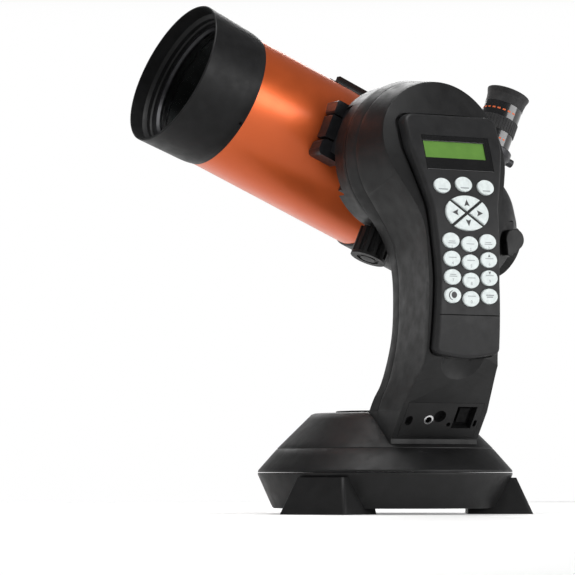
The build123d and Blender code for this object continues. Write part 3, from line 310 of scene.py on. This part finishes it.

# painted shade: flat black on the faces deep inside the sockets of the connector panel, where shade falls in the
# recesses
panel_mesh = NODES["port_panel"].data
panel_mesh.materials.append(BAFFLE_AND_SHADE_BLACK.material)
out_of_panel = Vector(next(
    m["axis"] for m in frame["record"]["mounts"] if m["name"] == "power_jack_bore"))
SOCKET_DEPTH = 0.6      # faces further than this behind the panel's front are inside a socket
if out_of_panel.y > 0:
    out_of_panel.negate()
panel_front = max(v.co.dot(out_of_panel) for v in panel_mesh.vertices)
for face in panel_mesh.polygons:
    if face.center.dot(out_of_panel) < panel_front - SOCKET_DEPTH * MM:
        face.material_index = 1

# ------------------------------------------------------------------ softened edges of the CAD skins
EDGE_MM = {
    "arm_outer_shell": 0.9, "arm_inner_shell": 0.8, "base_cover": 0.5, "base_housing": 0.6,
    "saddle_disc": 0.4, "saddle_jaw": 0.4, "clamp_knob": 0.5, "dovetail_bar": 0.4,
    "finder_bracket": 0.3, "port_panel": 0.3, "visual_back": 0.25, "lcd_window": 0.3,
}
for name, width in EDGE_MM.items():
    weld = NODES[name].modifiers.new("weld", "WELD")
    weld.merge_threshold = 0.00001
    edge = NODES[name].modifiers.new("edge", "BEVEL")
    edge.width = width * MM
    edge.segments = 3
    edge.limit_method = "ANGLE"
    edge.angle_limit = radians(28)
    edge.harden_normals = True


# ------------------------------------------------------------------ pieces
def piece(name, mesh, finish, body):
    made = bpy.data.objects.new(name, mesh)
    bpy.context.scene.collection.objects.link(made)
    made.data.materials.append(finish.material)
    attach(made, body)
    return made


def basis(origin, across, up):
    """Matrix whose x runs across, y runs up and z comes out of the surface."""
    x = Vector(across).normalized()
    z = x.cross(Vector(up)).normalized()
    y = z.cross(x)
    return Matrix.Translation(Vector(origin)) @ Matrix((x, y, z)).transposed().to_4x4()


def top_of(node):
    """Centre and outward normal of the flat that a key or display turns towards -Y."""
    mesh = NODES[node].data
    normal = Vector()
    for face in mesh.polygons:
        if face.normal.y < -0.9:
            normal += face.normal * face.area
    normal.normalize()
    level = max(v.co.dot(normal) for v in mesh.vertices)
    rim = [v.co for v in mesh.vertices if v.co.dot(normal) > level - 0.05 * MM]
    low = Vector([min(c[i] for c in rim) for i in range(3)])
    high = Vector([max(c[i] for c in rim) for i in range(3)])
    return (low + high) / 2, normal


def face_basis(node, lift_mm=0.0):
    centre, normal = top_of(node)
    up = normal.cross(Vector((1, 0, 0)))
    return basis(centre + normal * lift_mm * MM, (1, 0, 0), up)


def plate(bm, matrix, outline_mm, thick_mm=0.06):
    """Adds a thin closed plate with the given outline in the matrix's own x and y."""
    low = [bm.verts.new(matrix @ Vector((x * MM, y * MM, -0.03 * MM))) for x, y in outline_mm]
    high = [bm.verts.new(matrix @ Vector((x * MM, y * MM, thick_mm * MM))) for x, y in outline_mm]
    bm.faces.new(high)
    bm.faces.new(low[::-1])
    for i in range(len(low)):
        j = (i + 1) % len(low)
        bm.faces.new((low[i], low[j], high[j], high[i]))


def mesh_from(name, build):
    bm = bmesh.new()
    build(bm)
    bmesh.ops.recalc_face_normals(bm, faces=bm.faces)
    mesh = bpy.data.meshes.new(name)
    bm.to_mesh(mesh)
    bm.free()
    return mesh


def ring_of(radius, count, start=0.0, sweep=2 * pi):
    step = sweep / count
    return [(radius * cos(start + i * step), radius * sin(start + i * step)) for i in range(count)]


# printed marks of the keypad: digits, short caption bars, arrows and a crescent
ARROW = [(0, 3.2), (-2.6, -2.6), (0, -1.6), (2.6, -2.6)]


def digit_mesh(text, size_mm, matrix):
    curve = bpy.data.curves.new("digit_" + text, "FONT")
    curve.body = text
    curve.size = size_mm * MM
    curve.align_x, curve.align_y = "CENTER", "CENTER"
    curve.extrude = 0.04 * MM
    holder = bpy.data.objects.new("digit_" + text, curve)
    bpy.context.scene.collection.objects.link(holder)
    bpy.context.view_layer.update()
    mesh = bpy.data.meshes.new_from_object(holder)
    mesh.name = "digit_" + text
    bpy.data.objects.remove(holder)
    bpy.data.curves.remove(curve)
    mesh.transform(matrix)
    mesh.materials.clear()
    return mesh


def bars(bm, matrix, widths, first_y, pitch=1.5, height=0.55):
    for row, width in enumerate(widths):
        y = first_y - row * pitch
        plate(bm, matrix, [(-width / 2, y), (width / 2, y), (width / 2, y + height),
                           (-width / 2, y + height)])


for digit in "1234567890":
    key = "key_" + digit
    where = face_basis(key)
    widths = (5.6, 7.2) if digit in "137" else (7.4,)
    piece(f"bars_{digit}", mesh_from("bars", lambda bm: bars(bm, where, widths, 1.8)), GREY_INK, key)
    low = where @ Matrix.Translation((0, -2.6 * MM, 0))
    piece(f"digit_{digit}", digit_mesh(digit, 3.6, low), GREY_INK, key)
for label, widths in (("align", (8.6,)), ("enter", (8.0,)), ("undo", (7.0,)), ("menu", (7.6, 6.0))):
    where = face_basis("key_" + label)
    piece("bars_" + label, mesh_from("bars", lambda bm: bars(bm, where, widths, 0.4, height=0.9)),
          GREY_INK, "key_" + label)
for digit, sign in (("6", 1), ("9", -1)):
    where = face_basis("key_" + digit) @ Matrix.Translation((0, 4.3 * MM, 0))
    small = [(x * 0.42, sign * y * 0.42) for x, y in ARROW]
    piece("page_mark_" + digit, mesh_from("page", lambda bm: plate(bm, where, small)), DARK_INK,
          "key_" + digit)


def crescent(bm, where):
    """Dark disc with a crescent beside it, both in the same dark ink."""
    plate(bm, where @ Matrix.Translation((0.9 * MM, 0.3 * MM, 0)), ring_of(2.6, 32))
    outer = [(-0.2 + 3.9 * cos(a), 3.9 * sin(a)) for a in
             [radians(100 + 160 * i / 16) for i in range(17)]]
    inner = [(0.5 + 3.7 * cos(a), 3.6 * sin(a)) for a in
             [radians(258 - 156 * i / 16) for i in range(17)]]
    plate(bm, where, outer + inner)


piece("crescent_mark", mesh_from("crescent", lambda bm: crescent(bm, face_basis("key_info"))),
      DARK_INK, "key_info")
for turn, angle in (("up", 0), ("left", 90), ("down", 180), ("right", 270)):
    where = face_basis("key_" + turn) @ Matrix.Rotation(radians(angle), 4, "Z")
    piece("arrow_" + turn, mesh_from("arrow", lambda bm: plate(bm, where, ARROW)), DARK_INK,
          "key_" + turn)


# short printed dashes round the eyepiece, in place of its lettering
def dashes(bm, height_mm, radius_mm, count, sweep_deg):
    seat = (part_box("eyepiece_body")[0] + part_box("eyepiece_body")[1]) / 2
    turn = Matrix((AHEAD, Vector((0, -1, 0)), ABOVE)).transposed().to_4x4()
    for i in range(count):
        middle = 2 * pi * i / count
        arc = [middle + radians(sweep_deg) * (k / 4 - 0.5) for k in range(5)]
        rims = []
        for radius in (radius_mm - 0.05, radius_mm + 0.06):
            for level in (height_mm - 0.7, height_mm + 0.7):
                rims.append([bm.verts.new(Matrix.Translation(seat) @ turn @ Vector(
                    (radius * MM * cos(a), radius * MM * sin(a), level * MM))) for a in arc])
        inner_low, inner_high, outer_low, outer_high = rims
        for a, b in ((inner_low, inner_high), (inner_high, outer_high), (outer_high, outer_low),
                     (outer_low, inner_low)):
            for k in range(4):
                bm.faces.new((a[k], a[k + 1], b[k + 1], b[k]))
        bm.faces.new((inner_low[0], inner_high[0], outer_high[0], outer_low[0]))
        bm.faces.new((inner_low[4], outer_low[4], outer_high[4], inner_high[4]))


piece("eyepiece_marks_upper", mesh_from("dashes", lambda bm: dashes(bm, 11.5, 16.8, 22, 9.5)),
      ORANGE_INK, "eyepiece")
piece("eyepiece_marks_lower", mesh_from("dashes", lambda bm: dashes(bm, -14.0, 16.8, 26, 7.0)),
      ORANGE_INK, "eyepiece")


# ------------------------------------------------------------------ screws
def cross_head(bm, matrix, radius_mm, dome_mm=0.5):
    """Pan-head screw with a cross recess, its underside at the matrix's origin."""
    rings = [(radius_mm, 0.0), (radius_mm, dome_mm * 0.6), (radius_mm * 0.86, dome_mm),
             (radius_mm * 0.5, dome_mm * 1.12)]
    count = 40
    loops = [[bm.verts.new(matrix @ Vector((x * MM, y * MM, z * MM))) for x, y in ring_of(r, count)]
             for r, z in rings]
    for low, high in zip(loops, loops[1:]):
        for i in range(count):
            j = (i + 1) % count
            bm.faces.new((low[i], low[j], high[j], high[i]))
    bm.faces.new(loops[0][::-1])
    arm, half, depth = radius_mm * 0.42, radius_mm * 0.13, dome_mm * 0.2
    top = dome_mm * 1.12
    cross = [(half, half), (arm, half), (arm, -half), (half, -half), (half, -arm), (-half, -arm),
             (-half, -half), (-arm, -half), (-arm, half), (-half, half), (-half, arm), (half, arm)]
    rim = [bm.verts.new(matrix @ Vector((x * MM, y * MM, top * MM))) for x, y in cross]
    floor = [bm.verts.new(matrix @ Vector((x * MM, y * MM, depth * MM))) for x, y in cross]
    for i in range(12):
        j = (i + 1) % 12
        bm.faces.new((rim[j], rim[i], floor[i], floor[j]))
    bm.faces.new(floor)
    edges = [bm.edges.get((loops[-1][i], loops[-1][(i + 1) % count])) for i in range(count)]
    edges += [bm.edges.get((rim[i], rim[(i + 1) % 12])) for i in range(12)]
    bmesh.ops.triangle_fill(bm, use_beauty=True, edges=edges)


def screws(name, matrices, radius_mm, body, finish=SCREW_STEEL):
    def build(bm):
        for matrix in matrices:
            cross_head(bm, matrix, radius_mm)
    return piece(name, mesh_from(name, build), finish, body)


# case screws of the arm: half spacing and distance below the top of the head
ARM_SCREW_ROWS = [(29, 268), (12, 208), (12, 152)]
ARM_SCREW_R = 2.9
BOTTOM_SCREW_CIRCLE_R = 52
BOTTOM_SCREW_R = 1.75
BOTTOM_SCREW_SINK = 0.7

arm_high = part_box("arm_inner_shell")[1]
screws("arm_screws", [
    basis((side * x * MM, arm_high.y, arm_high.z - drop * MM), (-1, 0, 0), (0, 0, 1))
    for x, drop in ARM_SCREW_ROWS for side in (-1, 1)
], ARM_SCREW_R, "turntable")
plate_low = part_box("bottom_plate")[0]
screws("bottom_screws", [
    basis((BOTTOM_SCREW_CIRCLE_R * MM * cos(a), BOTTOM_SCREW_CIRCLE_R * MM * sin(a),
           plate_low.z + BOTTOM_SCREW_SINK * MM), (1, 0, 0), (0, -1, 0))
    for a in (radians(30), radians(150), radians(270))
], BOTTOM_SCREW_R, "base")

# ------------------------------------------------------------------ floor, light and camera
FLOOR_HALF = 2.6
FLOOR_NEARER = 1.1      # the floor runs on past the camera
TOWARDS_CAMERA = (-0.49, -0.87)
FLOOR_GAP = 0.0002


def floor_sheet(bm):
    bmesh.ops.create_grid(bm, x_segments=1, y_segments=1, size=FLOOR_HALF)


floor_mesh = mesh_from("floor", floor_sheet)
floor = bpy.data.objects.new("floor", floor_mesh)
bpy.context.scene.collection.objects.link(floor)
floor.location = (TOWARDS_CAMERA[0] * FLOOR_NEARER, TOWARDS_CAMERA[1] * FLOOR_NEARER,
                  CAD_LOW.z - FLOOR_GAP)
floor.data.materials.append(studio_floor().material)
floor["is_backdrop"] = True

world = bpy.data.worlds.new("studio")
bpy.context.scene.world = world
world.use_nodes = True
world_nodes, world_links = world.node_tree.nodes, world.node_tree.links
direction = world_nodes.new("ShaderNodeTexCoord")
split = world_nodes.new("ShaderNodeSeparateXYZ")
sky = world_nodes.new("ShaderNodeValToRGB")
world_links.new(direction.outputs["Generated"], split.inputs[0])
world_links.new(split.outputs["Z"], sky.inputs["Fac"])
sky.color_ramp.elements[0].position = 0.14
sky.color_ramp.elements[0].color = (1, 1, 1, 1)
sky.color_ramp.elements[1].position = 1.0
sky.color_ramp.elements[1].color = (0.16, 0.16, 0.16, 1)
for height, level in ((0.22, 0.55), (0.4, 0.13)):
    sky.color_ramp.elements.new(height).color = (level, level, level, 1)
world_links.new(sky.outputs["Color"], world_nodes["Background"].inputs["Color"])
world_nodes["Background"].inputs["Strength"].default_value = 1.0

MIDDLE = (CAD_LOW + CAD_HIGH) / 2


def soft_box(name, direction, distance, size, power, tall=None):
    light = bpy.data.lights.new(name, "AREA")
    light.shape = "RECTANGLE"
    light.size = size
    light.size_y = tall or size
    light.energy = power
    made = bpy.data.objects.new(name, light)
    bpy.context.scene.collection.objects.link(made)
    towards = Vector(direction).normalized()
    made.location = MIDDLE + towards * distance
    made.rotation_mode = "QUATERNION"
    made.rotation_quaternion = (-towards).to_track_quat("-Z", "Y")


soft_box("key_light", (0.54, -0.83, 0.14), 2.6, 2.6, 36, 0.9)
soft_box("top_light", (-0.15, -0.15, 1.0), 2.2, 1.6, 46)
soft_box("rim_light", (0.35, 0.85, 0.6), 2.2, 1.0, 18)

VIEW_YAW = radians(29.3)
VIEW_PITCH = radians(3.36)
VIEW_DISTANCE = 2.8
VIEW_ASIDE = -0.0815
VIEW_HEIGHT = 0.0247
camera_data = bpy.data.cameras.new("camera")
camera_data.sensor_width = 36
camera_data.lens = 209.5
camera_data.clip_start, camera_data.clip_end = 0.05, 60
camera = bpy.data.objects.new("camera", camera_data)
bpy.context.scene.collection.objects.link(camera)
level = Vector((sin(VIEW_YAW), cos(VIEW_YAW), 0))
aside = Vector((cos(VIEW_YAW), -sin(VIEW_YAW), 0))
camera.location = level * -VIEW_DISTANCE + aside * VIEW_ASIDE + Vector((0, 0, VIEW_HEIGHT))
look = level * cos(VIEW_PITCH) + Vector((0, 0, sin(VIEW_PITCH)))
camera.rotation_mode = "QUATERNION"
camera.rotation_quaternion = look.to_track_quat("-Z", "Y")
bpy.context.scene.camera = camera
bpy.context.scene.view_settings.view_transform = "Standard"

# ------------------------------------------------------------------ sizes
low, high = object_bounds()
